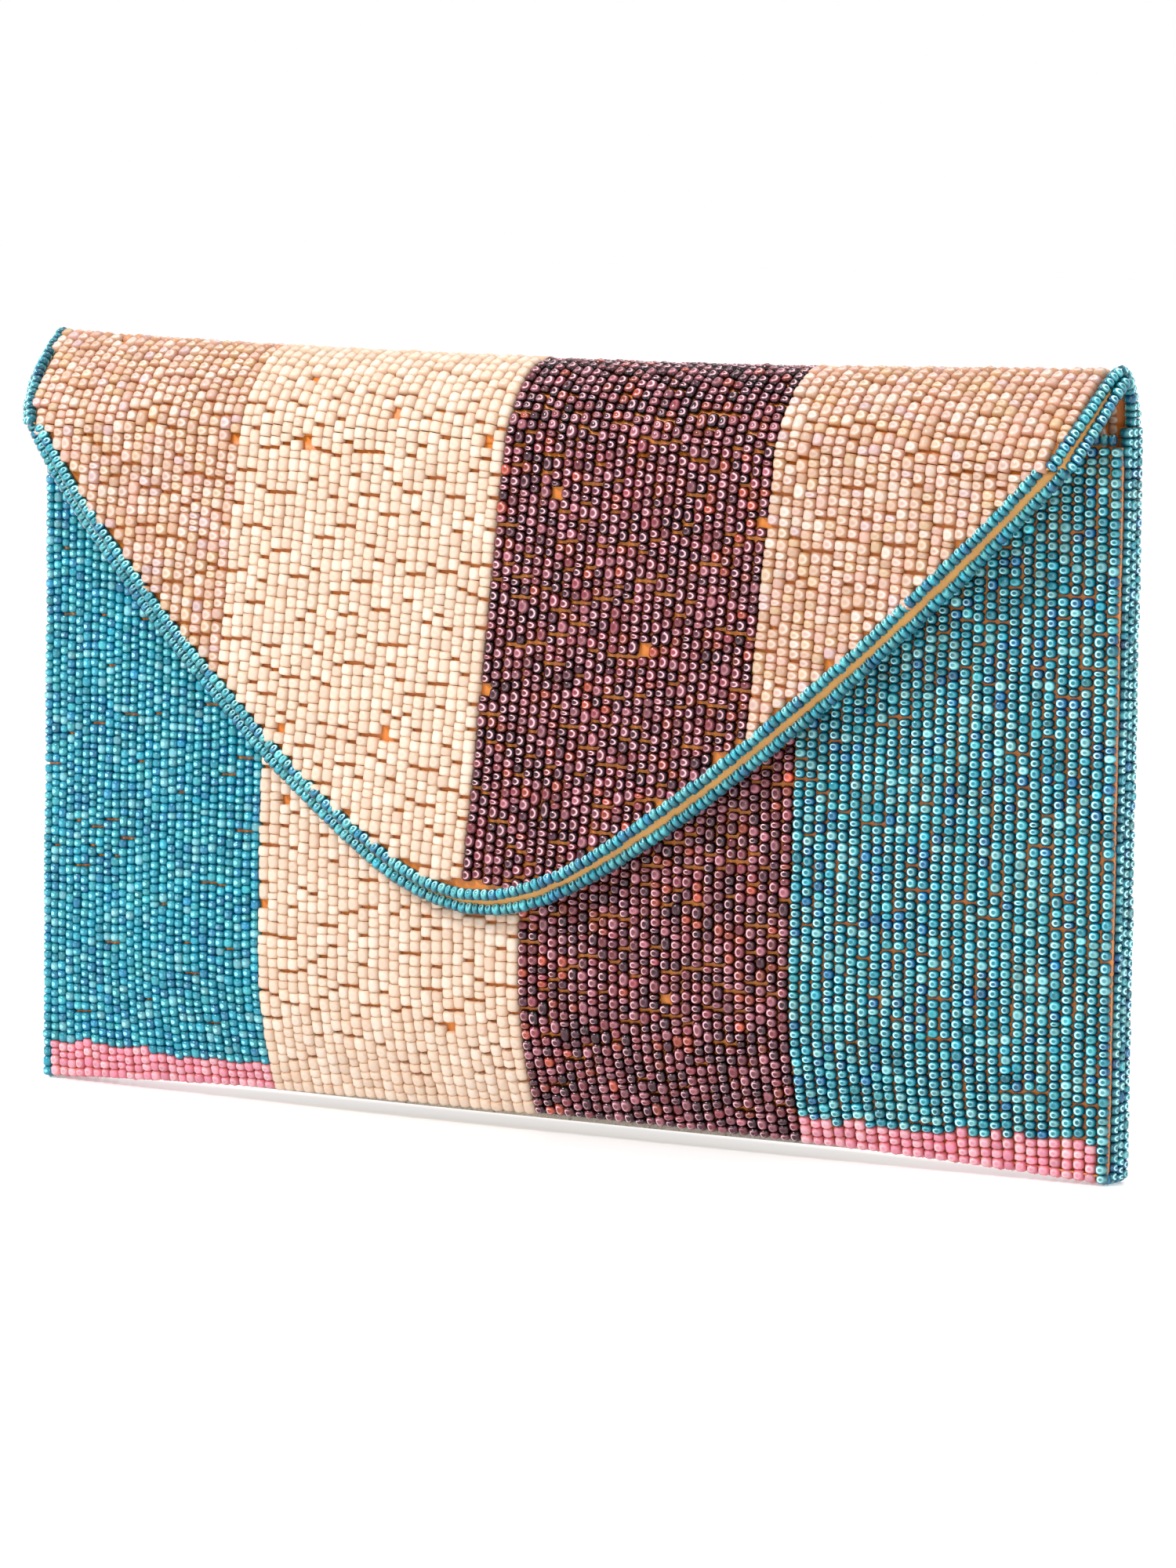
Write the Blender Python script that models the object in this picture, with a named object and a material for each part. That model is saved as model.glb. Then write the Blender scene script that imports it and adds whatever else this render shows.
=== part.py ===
"""Hand-beaded envelope clutch purse, standing on its base with the flap closed.

X runs across the purse, -Y is the front, +Z is up. The origin is the middle of the purse, on the
surface it stands on. Every panel is a stack of thin curved layers: beadwork on cloth, wadding,
board and satin lining. One cross-section runs up the back, round the soft fold and down the flap.
"""
import math

import bmesh
import bpy
import numpy as np

# Outer size, over the beads.
WIDTH = 0.265
HEIGHT = 0.165
HALF = WIDTH / 2
SIDE_DEPTH = 0.008             # depth of the sewn side edges
FRONT_BULGE = 0.0153           # how far the front panel swells beyond its sewn edges
BACK_BULGE = 0.0070
FRONT_EDGE = 0.0015            # front face of the sewn edge, ahead of the seam
BELLY_POWER = 2.37

# Levels.
MOUTH_Z = 0.149                # top of the front panel
BACK_TOP_Z = 0.153             # where the back starts to turn into the fold
FLAP_ROOT_Z = 0.145            # where the fold has turned into the flap
CREST_SAG = 0.002
TUCK_Z = 0.0345                # the front draws in towards the base below this
LEAN_Z = 0.055                 # and leans back towards the mouth above this

# Flap.
FOLD_HALF = 0.1321             # half the width at the crest
FLAP_TIP_Z = 0.0469
FLAP_FORWARD = 0.0172          # front face of the flap at its root, ahead of the seam
FLAP_LEAN = 0.05
FLAP_CROWN = 0.0015
V_SLOPE = 0.879
V_ROUND = 0.0328
V_FLARE = 32.4                 # quartic flare of the outline towards the corners, per cubic metre
FLAP_SKEW = 0.0574             # the flap drifts to the left by this much of its drop
FACE_INSET = 0.0043            # face strand, in from the flap's outline
FACE_INSET_CREST = 0.0026      # the same over the fold
BACK_INSET = 0.0011            # strand behind it, which forms the outline
BOARD_INSET = 0.0040
END_FULLNESS = 1.40            # power of the fold's front quarter: 1 is a chord, 2 an ellipse
MIDDLE_FULLNESS = 0.40         # what the belly adds to it

# Layers.
BEADWORK = 0.0025
WADDING = 0.0008
BOARD = 0.0010
LINING = 0.0004
GAP = 0.0003
INNER_SPAN = 0.90              # share of the width that the inner layers cover
STRAND_R = 0.00105             # a strand of beads
SATIN_EDGE_R = 0.0003
SATIN_INSET_CREST = 0.0021
SATIN_INSET = 0.0026            # satin seam between the flap's two strands
SATIN_DEPTH = 0.00205
BACK_DEPTH = 0.0031            # depth of the strand that forms the flap's outline

# Fold axes, just outside the curve so that nothing pinches as it opens.
REAR_AXIS = (0.0090, 0.1618)
FRONT_AXIS = (-0.0134, 0.1604)
SPLIT = math.radians(45)
SPLIT_GAP = 0.02

# Fittings.
MAGNET_R = 0.0070
MAGNET_Z = 0.064
POCKET_HALF = 0.075
POCKET_LOW = 0.030
POCKET_HIGH = 0.118

FRONTMOST = FLAP_FORWARD + FLAP_LEAN * (FLAP_ROOT_Z - FLAP_TIP_Z) + FLAP_CROWN
SEAM_Y = (FRONTMOST - SIDE_DEPTH - BACK_BULGE) / 2

COLORS = {
    "turquoise_beads": ((0.03, 0.36, 0.42), 0.25, 0.0),
    "peach_beads": ((0.78, 0.50, 0.38), 0.25, 0.0),
    "gold_satin": ((0.72, 0.42, 0.13), 0.4, 0.0),
    "wadding": ((0.85, 0.84, 0.80), 0.95, 0.0),
    "board": ((0.55, 0.50, 0.43), 0.85, 0.0),
    "magnet": ((0.60, 0.60, 0.62), 0.3, 1.0),
}


def clear_scene():
    """Take every object out of the scene."""
    for obj in list(bpy.data.objects):
        bpy.data.objects.remove(obj, do_unlink=True)


def finish(name, kind, mesh):
    """Make an object of a mesh and give it a finish."""
    color, roughness, metallic = COLORS[kind]
    material = bpy.data.materials.new(name + "_finish")
    material.use_nodes = True
    shader = material.node_tree.nodes["Principled BSDF"]
    shader.inputs["Base Color"].default_value = (*color, 1.0)
    shader.inputs["Roughness"].default_value = roughness
    shader.inputs["Metallic"].default_value = metallic
    mesh.materials.append(material)
    obj = bpy.data.objects.new(name, mesh)
    bpy.context.scene.collection.objects.link(obj)
    return obj


def solid(name, kind, points, faces):
    """Make a closed solid whose faces all point outwards."""
    work = bmesh.new()
    corners = [work.verts.new(point) for point in points]
    for face in faces:
        work.faces.new([corners[i] for i in face])
    bmesh.ops.triangulate(work, faces=work.faces[:])
    bmesh.ops.recalc_face_normals(work, faces=work.faces[:])
    mesh = bpy.data.meshes.new(name)
    work.to_mesh(mesh)
    work.free()
    return finish(name, kind, mesh)


def slab(name, kind, outer, inner):
    """Close the space between two grids of points, both shaped (rows, columns, 3)."""
    rows, columns = outer.shape[:2]
    count = rows * columns
    points = np.concatenate([outer.reshape(-1, 3), inner.reshape(-1, 3)]).tolist()
    index = np.arange(count).reshape(rows, columns)
    faces = []
    for r in range(rows - 1):
        for c in range(columns - 1):
            quad = [index[r, c], index[r, c + 1], index[r + 1, c + 1], index[r + 1, c]]
            faces.append(quad)
            faces.append([i + count for i in reversed(quad)])
    rim = list(index[0, :]) + list(index[1:, -1]) + list(index[-1, -2::-1]) + list(index[-2:0:-1, 0])
    for a, b in zip(rim, rim[1:] + rim[:1]):
        faces.append([b, a, a + count, b + count])
    return solid(name, kind, points, faces)


def tube(name, kind, path, radius, across=(0.0, 1.0, 0.0), sides=6):
    """Carry a round section along a path that never runs the way across points; cap both ends."""
    path = np.asarray(path)
    along = np.gradient(path, axis=0)
    along /= np.linalg.norm(along, axis=1)[:, None]
    side = np.cross(along, across)
    side /= np.linalg.norm(side, axis=1)[:, None]
    other = np.cross(side, along)
    turn = np.linspace(0, 2 * math.pi, sides, endpoint=False)[None, :, None]
    ring = path[:, None] + radius * (np.cos(turn) * side[:, None] + np.sin(turn) * other[:, None])
    index = np.arange(len(path) * sides).reshape(len(path), sides)
    faces = []
    for r in range(len(path) - 1):
        for c in range(sides):
            n = (c + 1) % sides
            faces.append([index[r, c], index[r, n], index[r + 1, n], index[r + 1, c]])
    faces += [list(index[0, ::-1]), list(index[-1])]
    return solid(name, kind, ring.reshape(-1, 3).tolist(), faces)


def belly(u):
    """Swell across the width: full in the middle, none at the sewn edges."""
    return 1 - np.abs(u) ** BELLY_POWER


def rise(z, height, least):
    """Go from least at the base to 1 at the given height along a quarter sine."""
    return least + (1 - least) * np.sin(math.pi / 2 * np.clip(z / height, 0, 1))


def front_y(u, z):
    """Outer face of the front panel."""
    lean = 1 - 0.28 * np.clip((z - LEAN_Z) / (MOUTH_Z - LEAN_Z), 0, 1)
    return SEAM_Y - FRONT_EDGE - FRONT_BULGE * belly(u) * rise(z, TUCK_Z, 0.34) * lean


def back_y(u, z):
    """Outer face of the back panel."""
    lean = 1 - 0.25 * np.clip((z - LEAN_Z) / (BACK_TOP_Z - LEAN_Z), 0, 1) ** 2
    return SEAM_Y + SIDE_DEPTH + BACK_BULGE * belly(u) * rise(z, TUCK_Z, 0.5) * lean


def flap_y(u, z):
    """Outer face of the flap, which is nearly flat and leans forward towards its tip."""
    return SEAM_Y - FLAP_FORWARD - FLAP_LEAN * (FLAP_ROOT_Z - z) - FLAP_CROWN * (1 - u ** 2)


def crest_y(u):
    """Top line of the fold."""
    return SEAM_Y + 0.0018 - 0.0063 * belly(u)


def wrap(x, s, depth):
    """Point of the back, fold and flap cross-section, depth below its outer face.

    Below 0, s is metres under the back's top; from 0 to pi it is the angle round the fold, as a
    quarter ellipse and a fuller curve that meet at the crest; above pi it is metres under the
    flap's root. In front of the crest everything drifts sideways with its drop.
    """
    x, s, depth = np.broadcast_arrays(*(np.asarray(v, dtype=float) for v in (x, s, depth)))
    u = np.clip(x / HALF, -1, 1)
    crest_z = HEIGHT - CREST_SAG * belly(u)
    middle = crest_y(u)
    back_z = BACK_TOP_Z + s
    flap_z = FLAP_ROOT_Z - (s - math.pi)
    reach_back = back_y(u, BACK_TOP_Z) - middle - depth
    reach_front = middle - flap_y(u, FLAP_ROOT_Z) - depth
    power = 2 / (END_FULLNESS + MIDDLE_FULLNESS * belly(u))
    forward = np.clip(-np.cos(s), 0, 1) ** power
    upward = np.clip(np.sin(s), 0, 1) ** power
    where = [s < 0, s < math.pi / 2, s <= math.pi]
    y = np.select(where, [back_y(u, back_z) - depth, middle + reach_back * np.cos(s),
                          middle - reach_front * forward], flap_y(u, flap_z) + depth)
    z = np.select(where, [back_z, BACK_TOP_Z + (crest_z - BACK_TOP_Z - depth) * np.sin(s),
                          FLAP_ROOT_Z + (crest_z - FLAP_ROOT_Z - depth) * upward], flap_z)
    drop = np.where(s > math.pi / 2, crest_z - depth - z, 0)
    return np.stack([x - FLAP_SKEW * drop, y, z], axis=-1)


def flap_edge_z(x):
    """Outline of the flap: straight sides, a round tip and a slight flare at the corners."""
    return FLAP_TIP_Z + V_SLOPE * (np.sqrt(x ** 2 + V_ROUND ** 2) - V_ROUND) + V_FLARE * x ** 4


def flap_half(s, inset=0.0):
    """Half the width at a place along the fold or flap, inset square to the flap's outline."""
    xs = np.linspace(0, FOLD_HALF, 400)
    zs = flap_edge_z(xs)
    slope = np.gradient(zs, xs)
    length = np.sqrt(1 + slope ** 2)
    inner_x = xs - inset * slope / length
    inner_z = zs + inset / length
    corner = np.interp(FLAP_ROOT_Z, inner_z, inner_x)
    end = np.interp(s, (0, math.pi / 2, math.pi), (HALF - inset, FOLD_HALF - inset, corner))
    return np.where(s > math.pi, np.interp(FLAP_ROOT_Z - (s - math.pi), inner_z, inner_x), end)


def strand_inset(s):
    """Inset of the face strand over the fold."""
    return np.interp(s, (math.pi / 2, math.pi), (FACE_INSET_CREST, FACE_INSET))


def flap_outline(inset, crest_inset, depth):
    """Path along the flap's outline, inset square to it, carried up round the fold's corners."""
    xs = FOLD_HALF * np.sin(np.linspace(-1, 1, 45) * math.pi / 2)
    slope = np.gradient(flap_edge_z(xs), xs)
    length = np.sqrt(1 + slope ** 2)
    x = xs - inset * slope / length
    z = flap_edge_z(xs) + inset / length
    low = z < FLAP_ROOT_Z - 0.0005
    start = np.linspace(math.pi - SPLIT + SPLIT_GAP, math.pi, 5)
    corner = flap_half(start) - np.interp(start, (math.pi / 2, math.pi), (crest_inset, inset))
    x = np.concatenate([-corner, x[low], corner[::-1]])
    s = np.concatenate([start, math.pi + FLAP_ROOT_Z - z[low], start[::-1]])
    return wrap(x, s, depth)


def columns(half, count):
    """Places across the width, symmetric about the middle."""
    return np.linspace(-half, half, count)[None, :]


def front_layer(name, kind, top, near, far, span=1.0, low=None, count=17):
    """Make a layer of the front panel between two depths behind its outer face."""
    low = BEADWORK + GAP if low is None else low
    z = np.array([low, 0.012, 0.020, 0.028, 0.038, 0.055, 0.085, 0.115, top])[:, None]
    x = columns((HALF - GAP) * span, count)
    u = x / HALF
    grids = [np.stack(np.broadcast_arrays(x, front_y(u, z) + d, z), axis=-1) for d in (near, far)]
    return slab(name, kind, *grids)


def wrap_layer(name, kind, rows, near, far, half, count=17):
    """Make a layer of the back, fold or flap; near, far and half may change from row to row."""
    s = np.asarray(rows, dtype=float)[:, None]
    near, far, half = (np.broadcast_to(np.asarray(v, dtype=float).reshape(-1, 1), s.shape)
                       for v in (near, far, half))
    x = half * np.linspace(-1, 1, count)[None, :]
    return slab(name, kind, wrap(x, s, near), wrap(x, s, far))


def base_layer(name, kind, low, high, inset, span, count=17):
    """Make a layer of the base between two levels, inset from the front and back faces."""
    x = columns((HALF - GAP) * span, count)
    u = x / HALF
    across = np.array([0, 0.5, 1])[:, None]
    front = front_y(u, 0.0) + inset
    back = back_y(u, 0.0) - inset
    y = front + (back - front) * across
    grids = [np.stack(np.broadcast_arrays(x, y, z), axis=-1) for z in (low, high)]
    return slab(name, kind, *grids)


def bar(name, kind, low, high):
    """Make a plain strip between two corners."""
    grid = np.array([[[x, y, 0.0] for x in (low[0], high[0])] for y in (low[1], high[1])])
    bottom = grid + (0, 0, low[2])
    top = grid + (0, 0, high[2])
    return slab(name, kind, bottom, top)


def disc(name, radius, thickness, centre, tilt, kind=None):
    """Make a disc whose axis runs front to back, or a cutter when it has no finish."""
    work = bmesh.new()
    bmesh.ops.create_cone(work, cap_ends=True, segments=24, radius1=radius, radius2=radius,
                          depth=thickness)
    mesh = bpy.data.meshes.new(name)
    work.to_mesh(mesh)
    work.free()
    if kind:
        obj = finish(name, kind, mesh)
    else:
        obj = bpy.data.objects.new(name, mesh)
        bpy.context.scene.collection.objects.link(obj)
        obj.hide_render = True
        obj.display_type = "WIRE"
    obj.location = centre
    obj.rotation_euler = (math.pi / 2 + tilt, 0, 0)
    return obj


def magnet_in_board(name, board, face_y, near, far, tilt):
    """Set a magnet disc in a round hole through its board."""
    centre = (0, face_y + (near + far) / 2, MAGNET_Z)
    cutter = disc(name + "_hole", MAGNET_R + 0.0004, 0.02, centre, tilt)
    cut = board.modifiers.new("magnet_hole", "BOOLEAN")
    cut.operation = "DIFFERENCE"
    cut.solver = "EXACT"
    cut.object = cutter
    disc(name, MAGNET_R, far - near - 0.0001, centre, tilt, "magnet")


# Depths of the layers behind a panel's outer face.
WADDING_AT = BEADWORK + GAP
BOARD_AT = WADDING_AT + WADDING + GAP
LINING_AT = BOARD_AT + BOARD + GAP
WALL = LINING_AT + LINING
FLAP_BOARD_AT = BEADWORK + GAP
FLAP_LINING_AT = FLAP_BOARD_AT + BOARD + GAP
FOLD_LINING_AT = BEADWORK + GAP
BASE_BOARD_Z = BEADWORK + GAP
BASE_LINING_Z = BASE_BOARD_Z + BOARD + GAP
INNER_LOW = BASE_LINING_Z + LINING + GAP


def make_front():
    """Front panel: beadwork, wadding, board with its magnet, lining and the hemmed mouth."""
    inner_top = MOUTH_Z - 0.0015
    front_layer("beaded_front_panel", "turquoise_beads", MOUTH_Z, 0, BEADWORK)
    front_layer("front_wadding", "wadding", inner_top, WADDING_AT, WADDING_AT + WADDING, INNER_SPAN, INNER_LOW)
    board = front_layer("front_board", "board", inner_top, BOARD_AT, BOARD_AT + BOARD, INNER_SPAN, INNER_LOW)
    front_layer("front_lining", "gold_satin", inner_top, LINING_AT, WALL, INNER_SPAN, INNER_LOW)
    magnet_in_board("front_magnet", board, front_y(0.0, MAGNET_Z), BOARD_AT, BOARD_AT + BOARD, 0.0)

    x = columns((HALF - GAP) * INNER_SPAN, 17)
    face = front_y(x / HALF, MOUTH_Z)
    level = inner_top + GAP
    grids = []
    for depth in (WADDING_AT, WALL):
        z = np.array([level, level + 0.0012])[:, None]
        grids.append(np.stack(np.broadcast_arrays(x, face + depth, z), axis=-1))
    slab("mouth_satin_binding", "gold_satin", *grids)

    x = columns(HALF - 0.003, 25)[0]
    y = front_y(x / HALF, MOUTH_Z) + BEADWORK / 2
    z = np.full_like(x, MOUTH_Z + GAP + STRAND_R)
    tube("mouth_hem_strand", "turquoise_beads", np.stack([x, y, z], axis=-1), STRAND_R)


def make_back():
    """Back panel: beadwork, wadding, board, lining and the slip pocket."""
    wall = np.array([0.0, 0.012, 0.020, 0.028, 0.038, 0.055, 0.085, 0.115, 0.140]) - BACK_TOP_Z
    turn = np.linspace(0, SPLIT - SPLIT_GAP, 4)
    inner_half = HALF * INNER_SPAN
    side_half = HALF - 0.003

    beads = wall.copy()
    beads[0] = BEADWORK + GAP - BACK_TOP_Z
    wrap_layer("beaded_back_panel", "peach_beads", np.append(beads, turn), 0, BEADWORK, side_half)

    inner = wall.copy()
    inner[0] = INNER_LOW - BACK_TOP_Z
    short = np.append(inner, -0.002)
    wrap_layer("back_wadding", "wadding", short, WADDING_AT, WADDING_AT + WADDING, inner_half)
    wrap_layer("back_board", "board", short, BOARD_AT, BOARD_AT + BOARD, inner_half)

    rows = np.append(short, turn[1:])
    near = np.append(np.full(len(short), LINING_AT), (LINING_AT, 0.0040, FOLD_LINING_AT))
    half = np.append(np.full(len(short), inner_half), (inner_half, 0.121, 0.123))
    wrap_layer("back_lining", "gold_satin", rows, near, near + LINING, half)

    levels = np.array([POCKET_LOW, 0.055, 0.085, POCKET_HIGH]) - BACK_TOP_Z
    pocket_at = WALL + GAP
    wrap_layer("slip_pocket", "gold_satin", levels, pocket_at, pocket_at + LINING, POCKET_HALF, 9)
    band = np.array([POCKET_HIGH + GAP, POCKET_HIGH + 0.003]) - BACK_TOP_Z
    wrap_layer("pocket_binding", "gold_satin", band, pocket_at, pocket_at + 0.001, POCKET_HALF, 9)


def make_base():
    """Narrow base: beadwork, board and lining between the two walls."""
    base_layer("beaded_base", "peach_beads", 0, BEADWORK, 0.0001, 1.0)
    inset = BEADWORK + GAP
    base_layer("base_board", "board", BASE_BOARD_Z, BASE_BOARD_Z + BOARD, inset, INNER_SPAN)
    base_layer("base_lining", "gold_satin", BASE_LINING_Z, BASE_LINING_Z + LINING, inset, INNER_SPAN)


def make_sides():
    """Sewn side edges: a satin seam and the bead strands that cover the back's edge."""
    low = BEADWORK + GAP
    seam = (SEAM_Y + 0.0013, SEAM_Y + 0.0021)
    strands = (SEAM_Y + 0.0024, SEAM_Y + SIDE_DEPTH - 0.0002)
    inside = HALF - 0.003 + GAP
    for side, sign in (("left", -1), ("right", 1)):
        x0, x1 = sorted((sign * inside, sign * HALF))
        bar(side + "_side_seam", "gold_satin", (x0, seam[0], low), (x1, seam[1], MOUTH_Z))
        bar(side + "_edge_strands", "turquoise_beads", (x0, strands[0], low), (x1, strands[1], BACK_TOP_Z))


def make_fold():
    """Soft strip over the top: beadwork, lining and the strands on its two ends."""
    rows = np.linspace(SPLIT + SPLIT_GAP, math.pi - SPLIT - SPLIT_GAP, 9)
    half = flap_half(rows) - strand_inset(rows) - STRAND_R - GAP
    wrap_layer("beaded_fold_strip", "peach_beads", rows, 0, BEADWORK, half)
    wrap_layer("fold_lining", "gold_satin", rows, FOLD_LINING_AT, FOLD_LINING_AT + LINING, half - 0.004)
    for side, sign in (("left", -1), ("right", 1)):
        path = wrap(sign * (flap_half(rows) - strand_inset(rows)), rows, STRAND_R)
        tube(side + "_fold_strand", "turquoise_beads", path, STRAND_R, (1.0, 0.0, 0.0))


def flap_rows(inset):
    """Rows of a flap layer, closer together where the outline rounds to the tip."""
    turn = np.linspace(math.pi - SPLIT + SPLIT_GAP, math.pi, 4)
    drop = FLAP_ROOT_Z - FLAP_TIP_Z - inset - 0.0006
    return np.append(turn, math.pi + drop * np.sin(np.linspace(0, math.pi / 2, 12))[1:])


def make_flap():
    """Flap: beadwork, board with its magnet, lining, and two strands with satin between them."""
    inset = FACE_INSET + STRAND_R + GAP
    rows = flap_rows(inset)
    wrap_layer("beaded_flap_panel", "peach_beads", rows, 0, BEADWORK, flap_half(rows, inset))

    rows = flap_rows(BOARD_INSET)
    half = flap_half(rows, BOARD_INSET)
    board_end = FLAP_BOARD_AT + BOARD
    board = wrap_layer("flap_board", "board", rows[3:], FLAP_BOARD_AT, board_end, half[3:])
    near = np.append((FOLD_LINING_AT, 0.0033, 0.0038), np.full(len(rows) - 3, FLAP_LINING_AT))
    wrap_layer("flap_lining", "gold_satin", rows, near, near + LINING, half)
    face = flap_y(0.0, MAGNET_Z)
    magnet_in_board("flap_magnet", board, face, FLAP_BOARD_AT, board_end, -FLAP_LEAN)

    tube("flap_face_strand", "turquoise_beads", flap_outline(FACE_INSET, FACE_INSET_CREST, STRAND_R), STRAND_R)
    tube("flap_edge_satin", "gold_satin", flap_outline(SATIN_INSET, SATIN_INSET_CREST, SATIN_DEPTH), SATIN_EDGE_R)
    tube("flap_back_strand", "turquoise_beads", flap_outline(BACK_INSET, BACK_INSET, BACK_DEPTH), STRAND_R)


clear_scene()
make_front()
make_back()
make_base()
make_sides()
make_fold()
make_flap()
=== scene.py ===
"""A hand-beaded envelope clutch: boards, wadding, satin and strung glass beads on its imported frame."""
import math

import bpy
import numpy as np
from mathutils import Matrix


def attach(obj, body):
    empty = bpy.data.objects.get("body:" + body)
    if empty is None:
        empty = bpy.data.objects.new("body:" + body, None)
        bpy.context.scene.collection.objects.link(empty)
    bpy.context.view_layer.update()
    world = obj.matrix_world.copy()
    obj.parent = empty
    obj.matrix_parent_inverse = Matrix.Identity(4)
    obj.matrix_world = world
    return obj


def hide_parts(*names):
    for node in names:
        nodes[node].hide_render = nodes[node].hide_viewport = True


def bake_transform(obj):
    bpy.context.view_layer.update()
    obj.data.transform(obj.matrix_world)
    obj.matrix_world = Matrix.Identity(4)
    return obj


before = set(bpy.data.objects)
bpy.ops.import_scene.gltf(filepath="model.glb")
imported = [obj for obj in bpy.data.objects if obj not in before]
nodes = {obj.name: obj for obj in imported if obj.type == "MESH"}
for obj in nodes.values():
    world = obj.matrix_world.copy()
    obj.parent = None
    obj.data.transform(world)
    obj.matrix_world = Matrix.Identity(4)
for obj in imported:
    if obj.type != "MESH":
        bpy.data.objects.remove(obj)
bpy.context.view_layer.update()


# ------------
# Boards: grey pulp board, die-cut to each panel and curved by hand as the panel is glued up.
# It is what keeps the purse standing; the satin and the beadwork hide it.
# ------------
class Wire:
    """One socket of a material, so that shader maths reads as an expression."""

    def __init__(self, finish, socket):
        self.finish = finish
        self.socket = socket

    def maths(self, operation, *terms):
        """Add a Math node that works on these terms."""
        return self.finish.add("Math", dict(enumerate(terms)), operation=operation)

    def __add__(self, other):
        return self.maths("ADD", self, other)

    def __sub__(self, other):
        return self.maths("SUBTRACT", self, other)

    def __rsub__(self, other):
        return self.maths("SUBTRACT", other, self)

    def __mul__(self, other):
        return self.maths("MULTIPLY", self, other)

    __radd__ = __add__
    __rmul__ = __mul__

    def clamped(self):
        """Keep the value between 0 and 1."""
        return self.maths("MINIMUM", self.maths("MAXIMUM", self, 0.0), 1.0)

    def absolute(self):
        """Drop the sign."""
        return self.maths("ABSOLUTE", self)


class Finish:
    """A material being mixed: constants go on its shader, and add() brings in any other node."""

    def __init__(self, name, **constants):
        self.material = bpy.data.materials.new(name)
        self.material.use_nodes = True
        self.tree = self.material.node_tree
        self.shader = self.tree.nodes["Principled BSDF"]
        for socket, value in constants.items():
            self.shader.inputs[socket.replace("_", " ")].default_value = value

    def add(self, kind, sockets=None, out=0, stops=None, **settings):
        """Add a node: its settings first, then a ramp's stops, then the values or links of its sockets."""
        node = self.tree.nodes.new("ShaderNode" + kind)
        for name, value in settings.items():
            setattr(node, name, value)
        if stops:
            ramp = node.color_ramp.elements
            while len(ramp) < len(stops):
                ramp.new(0.5)
            for element, (place, color) in zip(ramp, stops):
                element.position = place
                element.color = (*color, 1.0)
        for key, value in (sockets or {}).items():
            self.feed(node.inputs[key], value)
        return Wire(self, node.outputs[out])

    def feed(self, socket, value):
        """Link a wire to a socket, or set the socket's value."""
        if isinstance(value, Wire):
            self.tree.links.new(value.socket, socket)
        else:
            socket.default_value = value

    def mix(self, share, first, second, blend="MIX"):
        """Mix two colours."""
        return self.add("Mix", {0: share, 6: first, 7: second}, 2, data_type="RGBA", blend_type=blend)

    def noise(self, scale, detail=2.0, vector=None):
        """Soft noise in object space, between 0 and 1."""
        vector = vector or self.add("TexCoord", out=3)
        return self.add("TexNoise", {"Vector": vector, "Scale": scale, "Detail": detail})

    def attribute(self, name, out=2):
        """A value, or with out 0 a colour, that the mesh carries."""
        return self.add("Attribute", out=out, attribute_name=name)

    def surface(self, **sockets):
        """Feed what changes over the surface to the shader."""
        for name, value in sockets.items():
            self.feed(self.shader.inputs[name.replace("_", " ")], value)
        return self.material

    def bump(self, height, distance, strength=1.0):
        """Turn a height into a normal."""
        return self.add("Bump", {"Height": height, "Distance": distance, "Strength": strength})


def board_finish():
    """Grey pulp board: short fibres pressed flat, with darker flecks."""
    finish = Finish("pulp_board", Specular_IOR_Level=0.2)
    fibres = finish.noise(2600.0, 5.0)
    flecks = finish.noise(700.0, 1.0)
    color = finish.add("ValToRGB", {0: fibres}, stops=[(0.3, (0.30, 0.27, 0.22)), (0.7, (0.52, 0.47, 0.39))])
    color = finish.mix((flecks - 0.62) * 6.0, color, (0.16, 0.14, 0.12, 1.0))
    return finish.surface(Base_Color=color, Roughness=0.8 + fibres * 0.15,
                          Normal=finish.bump(fibres, 0.0002, 0.6))


def repaint(names, material):
    """Give CAD nodes a finish of their own."""
    for name in names:
        mesh = nodes[name].data
        mesh.materials.clear()
        mesh.materials.append(material)


repaint(("front_board", "back_board", "base_board", "flap_board"), board_finish())


# ------------
# Magnets: two nickel-plated discs, turned and plated, one let into the flap's board and one into the
# front's. They hold the flap shut through the cloth.
# ------------
def nickel_finish():
    """Nickel plate with fine turning marks and a faint bloom."""
    finish = Finish("nickel_plate", Metallic=1.0)
    bloom = finish.noise(350.0, 3.0)
    color = finish.mix(bloom, (0.52, 0.51, 0.48, 1.0), (0.68, 0.67, 0.64, 1.0))
    return finish.surface(Base_Color=color, Roughness=0.2 + bloom * 0.18,
                          Normal=finish.bump(finish.noise(4000.0), 0.00003))


repaint(("front_magnet", "flap_magnet"), nickel_finish())


# ------------
# Front panel's cloth: orange-gold satin stretched over the board. The beads are sewn to it, and it
# shows only where they part. The panel swells in the middle and draws in towards the base.
# ------------
WIDTH = 0.265
HALF = WIDTH / 2
HEIGHT = 0.165
SIDE_DEPTH = 0.008
MOUTH_Z = 0.149
BACK_TOP_Z = 0.153
FLAP_ROOT_Z = 0.145
FLAP_TIP_Z = 0.0469
TUCK_Z = 0.0345
LEAN_Z = 0.055
FRONT_EDGE = 0.0015            # how far the front's edge stands ahead of the seam
FRONT_BULGE = 0.0153
FRONT_TUCK = 0.34              # share of the bulge left at the base
FRONT_LEAN = 0.28              # share of it lost towards the mouth
BACK_BULGE = 0.0070
BACK_TUCK = 0.5
BACK_LEAN = 0.25
FLAP_AHEAD = 0.0172            # the flap's root, ahead of the seam
FLAP_LEAN = 0.05
FLAP_CROWN = 0.0015
SEAM_Y = (FLAP_AHEAD + FLAP_LEAN * (FLAP_ROOT_Z - FLAP_TIP_Z) + FLAP_CROWN - SIDE_DEPTH - BACK_BULGE) / 2
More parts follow.
